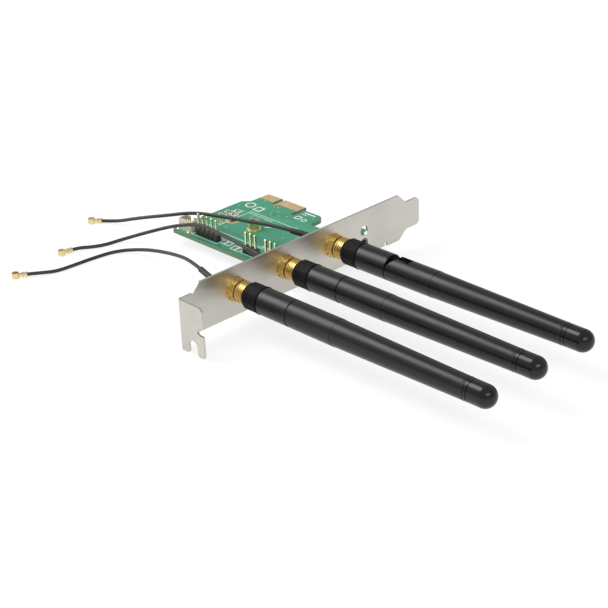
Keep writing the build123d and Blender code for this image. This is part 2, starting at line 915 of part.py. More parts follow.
def knuckle(x, side):
    """The rod's hinge end: two cheeks, rounded and slotted on the side the hinge opens to."""
    plane = antenna_plane(x, side)
    start = shoulder + hinge_gap
    reach = fin_radius + slot_end_gap
    with BuildPart() as piece:
        with BuildSketch(plane):
            with BuildLine():
                Polyline(
                    (start, 0),
                    (start, base_radius - hinge_seam),
                    (start + hinge_seam, base_radius),
                    (knuckle_end - seam, base_radius),
                    (knuckle_end, base_radius - seam),
                    (knuckle_end, spigot_radius),
                    (knuckle_end + spigot_length, spigot_radius),
                    (knuckle_end + spigot_length, 0),
                    close=True,
                )
            make_face()
        revolve(axis=Axis(plane.origin, plane.x_dir))
        with BuildSketch(plane):
            with Locations((hinge_out, 0)):
                Circle(base_radius)
            with BuildLine():
                Polyline(
                    (start, 0),
                    (start, -base_radius),
                    (knuckle_end + spigot_length, -base_radius),
                    (knuckle_end + spigot_length, base_radius),
                    (hinge_out, base_radius),
                    (hinge_out, 0),
                    close=True,
                )
            make_face()
        extrude(amount=base_radius, both=True, mode=Mode.INTERSECT)
        with BuildSketch(plane):
            with Locations((hinge_out, 0)):
                Circle(reach)
            with Locations(((start + hinge_out) / 2, -reach / 2)):
                Rectangle(hinge_out - start, reach)
            with Locations(((start + hinge_out + slot_length) / 2, base_radius / 2)):
                Rectangle(hinge_out + slot_length - start, base_radius)
        extrude(amount=tongue_thickness / 2 + slot_side_gap, both=True, mode=Mode.SUBTRACT)
        with BuildSketch(plane):
            with Locations((hinge_out, 0)):
                Circle(hinge_pin_radius)
        extrude(amount=hinge_pin_length / 2, both=True, mode=Mode.SUBTRACT)
        with BuildSketch(Plane.XZ.offset(hinge_out + fin_radius - face_y)):
            with Locations((x, axis_z)):
                Circle(feed_radius)
        extrude(amount=knuckle_end, mode=Mode.SUBTRACT)
    return piece


def hinge_pin(x, side):
    """The pin through both cheeks and the tongue."""
    with BuildPart() as piece:
        with BuildSketch(antenna_plane(x, side)):
            with Locations((hinge_out, 0)):
                Circle(hinge_pin_radius)
        extrude(amount=hinge_pin_length / 2, both=True)
    return piece


def radome(x):
    """The tapered tube that covers the radiator."""
    return turned(
        x,
        (
            (knuckle_end, spigot_radius),
            (knuckle_end, radome_root_radius - seam),
            (knuckle_end + seam, radome_root_radius),
            (radome_end - seam, radome_end_radius),
            (radome_end, radome_end_radius - seam),
            (radome_end, cap_spigot_radius),
            (radome_end - 2 * cap_spigot_length, cap_spigot_radius),
            (radome_end - 3 * cap_spigot_length, spigot_radius),
        ),
    )


def tip_cap(x):
    """The round-ended cap with one ring groove behind its seam."""
    plane = antenna_plane(x)
    radius = radome_end_radius
    groove_start = radome_end + cap_groove_start
    groove_end = groove_start + cap_groove_width
    with BuildPart() as piece:
        with BuildSketch(plane):
            with BuildLine():
                Polyline(
                    (antenna_reach, 0),
                    (radome_end - cap_spigot_length, 0),
                    (radome_end - cap_spigot_length, cap_spigot_radius),
                    (radome_end, cap_spigot_radius),
                    (radome_end, radius - seam),
                    (radome_end + seam, radius),
                    (groove_start, radius),
                    ((groove_start + groove_end) / 2, radius - cap_groove_depth),
                    (groove_end, radius),
                    (antenna_reach - radius, radius),
                )
                RadiusArc((antenna_reach - radius, radius), (antenna_reach, 0), radius)
            make_face()
        revolve(axis=Axis(plane.origin, plane.x_dir))
    return piece


def radiator(x):
    """The feed line, the brass sleeve and the whip inside the rod."""
    sleeve_start, sleeve_end = radiator_sleeve
    radiator_end = radome_end - cap_spigot_length - radiator_end_gap
    return turned(
        x,
        (
            (feed_start, 0),
            (feed_start, feed_radius),
            (sleeve_start, feed_radius),
            (sleeve_start, radiator_sleeve_radius),
            (sleeve_end, radiator_sleeve_radius),
            (sleeve_end, radiator_whip_radius),
            (radiator_end, radiator_whip_radius),
            (radiator_end, 0),
        ),
    )


for k, (x, side) in enumerate(zip(jack_x, hinge_sides), start=1):
    keep(f"coupling_nut_{k}", coupling_nut(x))
    keep(f"collar_{k}", collar(x))
    keep(f"antenna_base_{k}", antenna_base(x, side))
    keep(f"hinge_pin_{k}", hinge_pin(x, side))
    keep(f"knuckle_{k}", knuckle(x, side))
    keep(f"radome_{k}", radome(x))
    keep(f"tip_cap_{k}", tip_cap(x))
    keep(f"radiator_{k}", radiator(x))


# Leads
def bend_radii(points):
    """The radius of each bend: 0.45 of its shorter run, over the tangent of half the turn."""
    radii = []
    for before, corner, after in zip(points, points[1:], points[2:]):
        first = Vector(corner) - Vector(before)
        second = Vector(after) - Vector(corner)
        half_turn = radians(first.get_angle(second)) / 2
        radii.append(arc_share * min(first.length, second.length) / tan(half_turn))
    return radii


def tube(points, radius):
    """A round tube along straight runs joined by tangent arcs."""
    radii = bend_radii(points)
    with BuildPart() as piece:
        with BuildLine() as path:
            FilletPolyline(*points, radius=radii)
        centreline = path.wires()[0]
        with BuildSketch(Plane(origin=centreline @ 0, z_dir=centreline % 0)):
            Circle(radius)
        sweep(path=centreline)
    expected = pi * radius**2 * centreline.length
    print("radii", [round(r, 1) for r in radii], "length", round(centreline.length, 1))
    print("volume", round(piece.part.volume, 2), "expected", round(expected, 2))
    return piece


def plug_plane(end, direction, side):
    """A plane through a plug's middle: local x from the lead to the cap, local z to its open side."""
    return Plane(origin=end, x_dir=direction, z_dir=(0, 0, side))


def plug(end, direction, side):
    """Two crimp bands on a neck, and a round push-on cap, lying flat at a lead's end."""
    plane = plug_plane(end, direction, side)
    ring_middle = plug_neck_length + plug_ring_radius
    with BuildPart() as piece:
        with BuildSketch(plane):
            with Locations((ring_middle / 2, 0)):
                Rectangle(ring_middle, plug_neck_width)
        extrude(amount=plug_neck_height / 2, both=True)
        for start in plug_bands:
            across = Plane(origin=plane.from_local_coords((start, 0, 0)), x_dir=(0, 0, 1), z_dir=plane.x_dir)
            with BuildSketch(across) as band:
                Rectangle(plug_band_height, plug_band_width)
                chamfer(band.vertices(), plug_band_chamfer)
            extrude(amount=plug_band_length)
        with BuildSketch(plane):
            with Locations((ring_middle, 0)):
                Circle(plug_ring_radius)
        extrude(amount=plug_height / 2, both=True)
        with BuildSketch(plane.offset(plug_roof - plug_height / 2)):
            with Locations((ring_middle, 0)):
                Circle(plug_bore)
        extrude(amount=plug_height, mode=Mode.SUBTRACT)
    return piece


def plug_core(end, direction, side):
    """The ring inside a plug's cap that insulates its contact."""
    plane = plug_plane(end, direction, side)
    with BuildPart() as piece:
        with BuildSketch(plane.offset(plug_roof - plug_height / 2)):
            with Locations((plug_neck_length + plug_ring_radius, 0)):
                Circle(plug_core_radius)
                Circle(plug_socket_radius, mode=Mode.SUBTRACT)
        extrude(amount=plug_core_height)
    return piece


plug_cores = []
for k, (x, route, side) in enumerate(zip(jack_x, lead_routes, plug_sides), start=1):
    sleeve_route = (
        (x, sleeve_start_y, axis_z),
        (x, sleeve_start_y + sleeve_straight, axis_z),
        route[0],
    )
    keep(f"sleeve_{k}", tube(sleeve_route, sleeve_radius))
    keep(f"lead_{k}", tube(route, lead_radius))
    last_run = Vector(route[-1]) - Vector(route[-2])
    keep(f"plug_{k}", plug(route[-1], last_run, side))
    plug_cores.append(plug_core(route[-1], last_run, side))
keep("plug_cores", union_of(plug_cores))

os.makedirs("parts", exist_ok=True)
for name, part in finished.items():
    export_step(part, f"parts/{name}.step")
print(len(finished), "nodes")
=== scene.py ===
import json
import bpy
import numpy as np
from mathutils import Matrix, Vector


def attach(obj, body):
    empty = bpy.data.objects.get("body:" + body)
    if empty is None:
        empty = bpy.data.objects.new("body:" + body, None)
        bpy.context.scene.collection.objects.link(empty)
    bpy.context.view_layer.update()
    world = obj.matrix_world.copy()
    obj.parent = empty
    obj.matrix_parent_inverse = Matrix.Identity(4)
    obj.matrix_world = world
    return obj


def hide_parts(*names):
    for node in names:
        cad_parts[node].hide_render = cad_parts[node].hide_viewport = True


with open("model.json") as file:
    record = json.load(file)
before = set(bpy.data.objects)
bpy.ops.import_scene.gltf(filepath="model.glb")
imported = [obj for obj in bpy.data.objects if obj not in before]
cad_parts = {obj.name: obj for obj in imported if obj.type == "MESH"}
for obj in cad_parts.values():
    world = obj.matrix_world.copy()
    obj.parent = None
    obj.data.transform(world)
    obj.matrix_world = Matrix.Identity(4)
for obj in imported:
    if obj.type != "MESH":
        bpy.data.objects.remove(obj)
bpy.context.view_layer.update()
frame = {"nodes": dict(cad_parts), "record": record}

mm = 0.001
nodes = frame["nodes"]

# places shared by many pieces, in millimetres, as the frame has them
place = {
    "faceY": 22.85,          # front face of the bracket
    "axisZ": 13.5,           # height of the antennas' axes
    "tabX": -60.01,          # outer face of the bracket's tab
    "boardTop": 6.03,
    "boardLow": 4.46,
    "jackX": (-34.26, -10.16, 13.94),
}


def along(distance):  # along the bracket from the tab
    return place["tabX"] + distance


def behind(distance):  # from the bracket's face towards the board's rear
    return place["faceY"] + distance


# the camera, fitted to the corners of the bracket and of the edge contacts
cameraPlace = {
    "position": (-0.36679, -0.36216, 0.25908),
    "right": (0.71521, -0.69795, -0.03662),
    "up": (0.33424, 0.29556, 0.89494),
    "lens": 96.63,
    "sensor": 36.0,
    "shift": (0.0074, -0.0004),
    "clip": (0.02, 20),
}


def makeCamera(v):
    right, up = Vector(v["right"]).normalized(), Vector(v["up"]).normalized()
    back = right.cross(up)
    up = back.cross(right)
    turn = Matrix((right, up, back)).transposed().to_4x4()
    data = bpy.data.cameras.new("camera")
    data.sensor_width = v["sensor"]
    data.lens = v["lens"]
    data.shift_x, data.shift_y = v["shift"]
    data.clip_start, data.clip_end = v["clip"]
    camera = bpy.data.objects.new("camera", data)
    camera.matrix_world = Matrix.Translation(v["position"]) @ turn
    bpy.context.scene.collection.objects.link(camera)
    bpy.context.scene.camera = camera


makeCamera(cameraPlace)
bpy.context.scene.view_settings.view_transform = "Standard"
print("camera set")


def linear(red, green, blue):  # screen values 0..255 to the shader's linear values
    c = np.array([red, green, blue]) / 255
    c = np.where(c <= 0.04045, c / 12.92, ((c + 0.055) / 1.055) ** 2.4)
    return (*c.tolist(), 1)


class Finish:
    # a Principled shader with small helpers for its texture nodes
    def __init__(self, name, colour, roughness, metallic=0.0):
        self.material = bpy.data.materials.new(name)
        self.material.use_nodes = True
        self.tree = self.material.node_tree
        self.shader = self.tree.nodes["Principled BSDF"]
        self.material.diffuse_color = colour
        self.shader.inputs["Base Color"].default_value = colour
        self.shader.inputs["Roughness"].default_value = roughness
        self.shader.inputs["Metallic"].default_value = metallic
        self.place = self.tree.nodes.new("ShaderNodeTexCoord").outputs["Object"]

    def stretched(self, scale):  # object coordinates, stretched
        node = self.tree.nodes.new("ShaderNodeMapping")
        node.inputs["Scale"].default_value = scale
        self.tree.links.new(self.place, node.inputs["Vector"])
        return node.outputs["Vector"]

    def noise(self, scale, detail=3.0, roughness=0.5, source=None):
        node = self.tree.nodes.new("ShaderNodeTexNoise")
        node.inputs["Scale"].default_value = scale
        node.inputs["Detail"].default_value = detail
        node.inputs["Roughness"].default_value = roughness
        self.tree.links.new(source or self.place, node.inputs["Vector"])
        return node.outputs["Fac"]

    def facing(self):  # 1 where a face looks up or down, 0 on a side
        geometry = self.tree.nodes.new("ShaderNodeNewGeometry")
        split = self.tree.nodes.new("ShaderNodeSeparateXYZ")
        size = self.tree.nodes.new("ShaderNodeMath")
        size.operation = "ABSOLUTE"
        self.tree.links.new(geometry.outputs["Normal"], split.inputs["Vector"])
        self.tree.links.new(split.outputs["Z"], size.inputs[0])
        return size.outputs[0]

    def blend(self, amount, low, high):  # from one colour to another
        node = self.tree.nodes.new("ShaderNodeMix")
        node.data_type = "RGBA"
        firstColour, secondColour, result = node.inputs[6], node.inputs[7], node.outputs[2]
        self.tree.links.new(amount, node.inputs["Factor"])
        self.tree.links.new(low, firstColour)
        self.tree.links.new(high, secondColour)
        return result

    def spread(self, source, low, high, fromLow=0.3, fromHigh=0.7):  # a grey value stretched between two others
        node = self.tree.nodes.new("ShaderNodeMapRange")
        node.inputs["From Min"].default_value = fromLow
        node.inputs["From Max"].default_value = fromHigh
        node.inputs["To Min"].default_value = low
        node.inputs["To Max"].default_value = high
        self.tree.links.new(source, node.inputs["Value"])
        return node.outputs["Result"]

    def ramp(self, source, stops):  # a grey value turned into screen colours by their positions
        node = self.tree.nodes.new("ShaderNodeValToRGB")
        ramp, stops = node.color_ramp, list(stops)
        while len(ramp.elements) < len(stops):
            ramp.elements.new(0.5)
        for element, (position, colour) in zip(ramp.elements, stops):
            element.position = position
            element.color = linear(*colour)
        self.tree.links.new(source, node.inputs["Fac"])
        return node.outputs["Color"]

    def feed(self, socket, source):  # a pattern into one of the shader's sockets
        self.tree.links.new(source, self.shader.inputs[socket])

    def bump(self, source, distance, strength):  # relief, its depth in metres
        node = self.tree.nodes.new("ShaderNodeBump")
        node.inputs["Distance"].default_value = distance
        node.inputs["Strength"].default_value = strength
        self.tree.links.new(source, node.inputs["Height"])
        before = self.shader.inputs["Normal"].links
        if before:
            self.tree.links.new(before[0].from_socket, node.inputs["Normal"])
        self.feed("Normal", node.outputs["Normal"])


plate = {
    "colours": ((0.3, (197, 194, 186)), (0.7, (213, 210, 202))), "cloud": (38, 3),
    "grain": (260, 5, 0.6), "stretch": (0.12, 1, 2.5),   # drawn out along X
    "roughness": (0.35, 0.48), "relief": (0.000012, 0.5),
}


def plateFinish(v):  # satin nickel on rolled steel, grain along X
    f = Finish("bracketPlate", linear(190, 186, 178), 0.34, 1.0)
    grain = f.noise(*v["grain"], f.stretched(v["stretch"]))
    f.feed("Base Color", f.ramp(f.noise(*v["cloud"]), v["colours"]))
    f.feed("Roughness", f.spread(grain, *v["roughness"]))
    f.bump(grain, *v["relief"])
    return f.material


plating = {"patch": (320, 2), "darker": 0.94, "positions": (0.35, 0.65), "wear": (700, 2), "range": (0.85, 1.2)}


def goldFinish(name, colour, roughness, v=plating):  # thin bright plating over turned brass
    f = Finish(name, linear(*colour), roughness, 1.0)
    darker = tuple(int(c * v["darker"]) for c in colour)
    f.feed("Base Color", f.ramp(f.noise(*v["patch"]), zip(v["positions"], (darker, colour))))
    f.feed("Roughness", f.spread(f.noise(*v["wear"]), *(roughness * share for share in v["range"])))
    return f.material


mask = {
    "colours": ((0.3, (48, 142, 107)), (0.7, (62, 156, 121))), "cloud": (120, 4),
    # edge: the laminate's colour on the sides, made lighter as painted light where the sides lie in shade
    "edge": ((0.35, (74, 112, 82)), (0.65, (118, 146, 110))), "glass": (900, 3, 0.6), "stretch": (0.25, 0.25, 4),
    "facing": (0.35, 0.6),   # where the sides' colour gives way to the faces'
    "shine": (300, 3), "roughness": (0.24, 0.38), "weave": (2600, 2, 0.5), "relief": (0.000010, 0.35),
}


def boardFinish(v):  # green solder mask, a little mottled, over a woven laminate that shows on the sides, its colour there lightened as painted light
    f = Finish("board", linear(52, 142, 108), 0.34)
    faces = f.ramp(f.noise(*v["cloud"]), v["colours"])
    # the sides: laminate weave, lightened by painted light standing in for light on sides that lie in shade
    sides = f.ramp(f.noise(*v["glass"], f.stretched(v["stretch"])), v["edge"])
    f.feed("Base Color", f.blend(f.spread(f.facing(), 0, 1, *v["facing"]), sides, faces))
    f.feed("Roughness", f.spread(f.noise(*v["shine"]), *v["roughness"]))
    f.bump(f.noise(*v["weave"]), *v["relief"])
    return f.material


laminate = {
    "colours": ((0.35, (200, 170, 114)), (0.65, (220, 192, 138))), "weave": (1500, 3, 0.6),
    "fine": (2400, 2), "relief": (0.00001, 0.5),
}


def laminateFinish(v):  # bare epoxy glass between and behind the contacts
    f = Finish("bareLaminate", linear(208, 178, 122), 0.5)
    f.feed("Base Color", f.ramp(f.noise(*v["weave"]), v["colours"]))
    f.bump(f.noise(*v["fine"]), *v["relief"])
    return f.material


solder = {"shine": (1600, 4), "roughness": (0.2, 0.5), "lumps": (1300, 3), "relief": (0.00002, 0.5)}


def solderFinish(v):  # tin, bright but uneven
    f = Finish("solderTin", linear(216, 210, 192), 0.34, 1.0)
    f.feed("Roughness", f.spread(f.noise(*v["shine"]), *v["roughness"]))
    f.bump(f.noise(*v["lumps"]), *v["relief"])
    return f.material


sleeve = {
    "colours": ((0.35, (26, 26, 24)), (0.65, (38, 38, 35))), "cloud": (400, 3),
    "shine": (900, 4), "roughness": (0.42, 0.62), "wrinkles": (1400, 4, 0.6), "relief": (0.00003, 0.5),
}


def sleeveFinish(v):  # shrunk rubber tube, matt and finely wrinkled
    f = Finish("sleeveTube", linear(30, 30, 28), 0.5)
    f.feed("Base Color", f.ramp(f.noise(*v["cloud"]), v["colours"]))
    f.feed("Roughness", f.spread(f.noise(*v["shine"]), *v["roughness"]))
    f.bump(f.noise(*v["wrinkles"]), *v["relief"])
    return f.material


moulding = {"cloud": (90, 3), "lighter": 1.14, "positions": (0.35, 0.65), "detail": (2, 0.6), "range": (0.92, 1.1)}


def mouldedFinish(name, colour, roughness, grain=1500.0, relief=(0.00001, 0.6), index=1.5, v=moulding):
    # moulded plastic with the fine grain of its mould
    f = Finish(name, linear(*colour), roughness)
    f.shader.inputs["IOR"].default_value = index
    lighter = tuple(min(255, int(c * v["lighter"]) + 1) for c in colour)
    f.feed("Base Color", f.ramp(f.noise(*v["cloud"]), zip(v["positions"], (colour, lighter))))
    fine = f.noise(grain, *v["detail"])
    f.feed("Roughness", f.spread(fine, *(roughness * share for share in v["range"])))
    f.bump(fine, *relief)
    return f.material


steel = {"shine": (700, 4), "range": (0.7, 1.4), "marks": (1100, 3), "relief": (0.000006, 0.5)}


def steelFinish(name, colour, roughness, v=steel):  # plated or blackened steel
    f = Finish(name, linear(*colour), roughness, 1.0)
    f.feed("Roughness", f.spread(f.noise(*v["shine"]), *(roughness * share for share in v["range"])))
    f.bump(f.noise(*v["marks"]), *v["relief"])
    return f.material


ink = {
    "colours": ((0.3, (222, 228, 220)), (0.6, (240, 242, 238))), "cloud": (1400, 3),
    "fine": (1800, 2), "relief": (0.000008, 0.5),
}


def inkFinish(v):  # white printing, a little thin in places
    f = Finish("printInk", linear(236, 238, 232), 0.55)
    f.feed("Base Color", f.ramp(f.noise(*v["cloud"]), v["colours"]))
    f.bump(f.noise(*v["fine"]), *v["relief"])
    return f.material


finish = {  # by the record's slots, then the finishes that only some pieces have
    "bracket_plate": plateFinish(plate),
    "board": boardFinish(mask),
    "contact_gold": goldFinish("contactGold", (252, 230, 182), 0.44),
    "gold_plate": goldFinish("goldPlate", (234, 202, 125), 0.33),
    "pin_gold": goldFinish("pinGold", (236, 226, 182), 0.26),
    "brass_turned": goldFinish("brassTurned", (234, 214, 156), 0.42),
    "screw_steel": steelFinish("screwSteel", (206, 196, 186), 0.26),
    "hinge_steel": steelFinish("hingeSteel", (150, 149, 146), 0.3),
    "socket_plastic": mouldedFinish("socketPlastic", (38, 38, 38), 0.5),
    "header_plastic": mouldedFinish("headerPlastic", (34, 34, 34), 0.45),
    "connector_plastic": mouldedFinish("connectorPlastic", (206, 200, 178), 0.45),
    "capacitor_body": mouldedFinish("capacitorBody", (150, 116, 88), 0.5),
    "resistor_body": mouldedFinish("resistorBody", (30, 30, 32), 0.35),
    "insulator": mouldedFinish("insulatorWhite", (150, 140, 112), 0.45),
    "grip_plastic": mouldedFinish("gripPlastic", (10, 11, 10), 0.66, 1200.0, (0.00001, 0.4), 1.3),
    "antenna_plastic": mouldedFinish("antennaPlastic", (20, 20, 18), 0.3, 120.0, (0.000001, 0.05), 1.42),
    "sleeve_rubber": sleeveFinish(sleeve),
    "lead_jacket": mouldedFinish("leadJacket", (44, 45, 42), 0.46, 900.0, (0.000006, 0.4)),
    "ink": inkFinish(ink),
    "laminate": laminateFinish(laminate),
    "solder": solderFinish(solder),
    "tip": mouldedFinish("tipPlastic", (20, 20, 18), 0.2, 120.0, (0.000001, 0.02), 1.44),
    "trace": mouldedFinish("maskedTrace", (70, 162, 124), 0.3),
    "blackScrew": steelFinish("blackScrew", (104, 104, 100), 0.34),
    "plugGold": goldFinish("plugGold", (236, 216, 164), 0.3),
}

slotOf = {part["node"]: part["material_slot"] for part in frame["record"]["subparts"]}
for name, node in nodes.items():
    node.data.materials.clear()
    node.data.materials.append(finish[slotOf[name]])
for number in (1, 2, 3):
    nodes[f"plug_{number}"].data.materials[0] = finish["plugGold"]
nodes["board_screws"].data.materials[0] = finish["blackScrew"]
print("finishes made")


# the aerial leads, each along the route of its tube in the source
leads = {
    "diameter": 1.37,
    "lengths": (100.1, 91.3, 91.6),
    "steps": 24,       # divisions between two points of a route
    "roundness": 8,
    "routes": (
        (
            (-31.9, 44.1, 13.5), (-29.7, 51.6, 13.4), (-25.1, 63.5, 10.4), (-21.2, 79.5, 6.1),
            (-19.4, 94.0, 2.0), (-24.8, 102.4, 0.7), (-34.7, 104.0, 0.7), (-44.4, 104.5, 0.7),
            (-51.8, 105.2, 0.7), (-56.9, 107.8, 1.1), (-61.0, 110.7, 1.1),
        ),
        (
            (-9.5, 43.5, 13.9), (-8.8, 51.4, 14.3), (-6.5, 62.5, 13.5), (-4.2, 76.0, 12.6),
            (-6.2, 88.5, 9.2), (-10.2, 99.0, 5.0), (-16.3, 109.1, 0.8), (-24.2, 110.2, 0.7),
            (-29.5, 112.7, 0.8), (-33.2, 115.0, 1.1), (-36.3, 115.7, 1.1),
        ),
        (
            (12.2, 43.3, 14.0), (10.3, 51.1, 14.5), (8.0, 62.3, 13.7), (5.6, 75.0, 12.9),
            (2.4, 87.5, 12.1), (-3.6, 97.0, 10.1), (-6.5, 110.9, 6.0), (-6.8, 122.4, 1.6),
            (-8.7, 126.1, 1.1), (-11.1, 129.1, 1.1),
        ),
    ),
}


def makeLead(number, route, v):
    curve = bpy.data.curves.new(f"leadCurve{number}", "CURVE")
    curve.dimensions = "3D"
    curve.resolution_u = v["steps"]
    curve.bevel_depth = v["diameter"] / 2 * mm
    curve.bevel_resolution = v["roundness"]
    curve.use_fill_caps = True
    spline = curve.splines.new("NURBS")
    spline.points.add(len(route) - 1)
    for point, (x, y, z) in zip(spline.points, route):
        point.co = (x * mm, y * mm, z * mm, 1)
    spline.order_u = 3
    spline.use_endpoint_u = True
    lead = bpy.data.objects.new(f"leadJacket{number}", curve)
    bpy.context.scene.collection.objects.link(lead)
    curve.materials.append(finish["lead_jacket"])
    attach(lead, "card")
    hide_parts(f"lead_{number}")


for number, route in enumerate(leads["routes"], start=1):
    makeLead(number, route, leads)
print("leads laid")


def gridPiece(name, blocks, surface, body="card", standsFor=(), sharp=35):
    # Each block is a closed profile of points carried through stations, an array of stations by points by 3,
    # and says whether its last station joins its first. Quads join neighbours, caps close an open block, and
    # a block whose signed volume comes out negative is turned over.
    vertices, faces, first = [], [], 0
    for points, looped in blocks:
        stations, around = points.shape[:2]
        index = np.arange(stations * around).reshape(stations, around)
        rows = np.vstack([index, index[:1]]) if looped else index
        beside = np.roll(rows, -1, axis=1)
        quads = np.stack([rows[:-1], rows[1:], beside[1:], beside[:-1]], axis=-1).reshape(-1, 4)
        flat = points.reshape(-1, 3)
        a, b, c, d = ((flat - flat.mean(axis=0))[quads[:, k]] for k in range(4))
        step = -1 if (a * (np.cross(b, c) + np.cross(c, d))).sum() < 0 else 1
        faces += (quads[:, ::step] + first).tolist()
        if not looped:
            faces += [(index[0, ::step] + first).tolist(), (index[-1, ::-step] + first).tolist()]
        vertices.append(flat * mm)
        first += len(flat)
    mesh = bpy.data.meshes.new(name)
    mesh.from_pydata(np.concatenate(vertices).tolist(), [], faces)
    mesh.polygons.foreach_set("use_smooth", np.ones(len(mesh.polygons), dtype=bool))
    mesh.set_sharp_from_angle(angle=np.radians(sharp))
    mesh.materials.append(finish[surface])
    piece = bpy.data.objects.new(name, mesh)
    bpy.context.scene.collection.objects.link(piece)
    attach(piece, body)
    if standsFor:
        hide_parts(*standsFor)


def mitres(path, closed=False):
    # A path's points and, for each, how it moves sideways for a parallel line one millimetre away: along the
    # mitre of its two runs, by one over the cosine of half their turn.
    p = np.array(path, float)
    before, after = p - np.roll(p, 1, axis=0), np.roll(p, -1, axis=0) - p
    if not closed:
        before[0], after[-1] = after[0], before[-1]
    before /= np.linalg.norm(before, axis=1, keepdims=True)
    after /= np.linalg.norm(after, axis=1, keepdims=True)
    mitre = (before + after)[:, ::-1] * (-1, 1)
    mitre /= np.linalg.norm(mitre, axis=1, keepdims=True)
    share = (mitre * before[:, ::-1] * (-1, 1)).sum(axis=1, keepdims=True).clip(0.4, 1)
    return p, mitre / share


def stroke(path, width, low, high, closed=False):
    # A flat line of even width: each point of the path moves half the width to both sides, low and high.
    p, step = mitres(path, closed)
    p = p + (along(0), behind(0))
    left, right = p + step * width / 2, p - step * width / 2
    sides = np.stack([left, right, right, left], axis=1)
    heights = np.broadcast_to(np.array([low, low, high, high]), sides.shape[:2])
    return np.concatenate([sides, heights[..., None]], axis=2), closed


def rectangle(centre, size):  # the four corners of a rectangle square to the board
    (x, y), (a, b) = centre, size
    return [(x - a / 2, y - b / 2), (x + a / 2, y - b / 2), (x + a / 2, y + b / 2), (x - a / 2, y + b / 2)]


def circle(centre, radius, steps=28):  # points round a circle
    turn = np.linspace(0, 2 * np.pi, steps, endpoint=False)
    return np.stack([centre[0] + radius * np.cos(turn), centre[1] + radius * np.sin(turn)], axis=1)


def block(centre, size, corner, levels, arc=5):
    # A rounded rectangle carried upwards: at each level's height its outline draws in by that level's inset.
    turn = (np.linspace(0, np.pi / 2, arc) + np.arange(4)[:, None] * np.pi / 2).ravel()
    signs = np.repeat(np.array([(1, 1), (-1, 1), (-1, -1), (1, -1)]), arc, axis=0)
    rounding = corner * np.stack([np.cos(turn), np.sin(turn)], axis=1)
    middle = np.array((along(centre[0]), behind(centre[1])))
    z, inset = np.array(levels, float).T
    half = np.array(size)[None, :] / 2 - corner - inset[:, None]
    outline = middle + signs[None] * half[:, None, :] + rounding[None]
    heights = np.broadcast_to(z[:, None, None], (*outline.shape[:2], 1))
    return np.concatenate([outline, heights], axis=2), False


def turned(centre, profile, steps=20):  # a profile of heights and radii spun round an upright axis
    z, radius = np.array(profile, float).T
    turn = np.linspace(0, 2 * np.pi, steps, endpoint=False)
    x = along(centre[0]) + radius[:, None] * np.cos(turn)
    y = behind(centre[1]) + radius[:, None] * np.sin(turn)
    return np.stack([x, y, np.broadcast_to(z[:, None], x.shape)], axis=2), False


# printed marks: plain outlines, bars and rings, no lettering; places along and behind the bracket
marks = {
    "low": 6.02,
    "high": 6.055,
    "outlines": (  # centre, size, line width
        ((59.5, 53.4), (4.7, 14.3), 0.32),
        ((59.6, 29.4), (3.6, 8.6), 0.24),
        ((59.6, 18.6), (3.6, 8.6), 0.24),
        ((60.4, 45.35), (3.0, 2.3), 0.42),
        ((60.4, 42.65), (3.0, 2.3), 0.42),
        ((59.3, 38.25), (3.0, 2.2), 0.42),
        ((59.3, 35.65), (3.0, 2.2), 0.42),
        ((60.2, 65.4), (5.2, 8.2), 0.24),
        ((80.9, 65.4), (2.1, 3.4), 0.3),
        ((77.3, 65.4), (2.1, 3.4), 0.3),
        ((83.8, 63.4), (2.3, 3.2), 0.36),
        ((80.5, 62.0), (2.3, 3.2), 0.36),
        ((71.5, 60.4), (2.1, 3.4), 0.3),
        ((66.4, 62.6), (1.9, 2.8), 0.24),
        ((90.4, 22.0), (2.4, 6.4), 0.2),
        ((93.4, 12.6), (5.2, 3.0), 0.2),
        ((90.6, 58.4), (3.2, 3.2), 0.62),
        ((94.9, 40.6), (2.3, 2.3), 0.5),
    ),
    "rings": (  # centre, radius, line width
        ((91.3, 64.0), 2.0, 0.62),
        ((94.4, 37.0), 1.05, 0.45),
        ((66.0, 10.6), 0.5, 0.3),
    ),
    "lines": (  # path, line width
        (((65.7, 18.6), (65.7, 59.0), (86.9, 59.0), (86.9, 18.6)), 0.3),
        (((99.9, 42.0), (99.9, 36.0)), 0.85),
        (((98.3, 42.0), (98.3, 39.4)), 0.4),
        (((79.7, 43.9), (81.3, 41.7)), 0.5),
        (((66.9, 31.6), (66.9, 27.2)), 0.5),
        (((63.4, 14.0), (63.4, 6.0)), 0.24),
    ),
    "barRow": {
        "x": 85.5, "starts": 45.8, "ends": 57.8, "width": 0.34,
        "lengths": (1.3, 0.8, 1.3, 1.3, 0.6, 1.1, 1.3, 0.8, 1.2, 1.3, 0.7, 1.3),
    },
}


def printMarks(v):
    low, high = v["low"], v["high"]
    lines = [stroke(rectangle(c, size), width, low, high, True) for c, size, width in v["outlines"]]
    lines += [stroke(circle(c, radius), width, low, high, True) for c, radius, width in v["rings"]]
    lines += [stroke(path, width, low, high) for path, width in v["lines"]]
    row = v["barRow"]
    places = np.linspace(row["starts"], row["ends"], len(row["lengths"]))
    lines += [
        stroke(((row["x"] - length / 2, y), (row["x"] + length / 2, y)), row["width"], low, high)
        for y, length in zip(places, row["lengths"])
    ]
    gridPiece("printedMarks", lines, "ink")


printMarks(marks)
print("marks printed")


# bare laminate round the edge contacts
fingers = {
    "inner": 98.9, "bevel": 103.3, "tip": 104.5, "bevelDrop": 0.4,
    "blocks": ((45.5, 57.15), (59.05, 66.9)),
    "skin": 0.014, "under": 0.03, "corner": 0.6, "easing": (0, 0.1, 0.3, 0.6, 1),
}


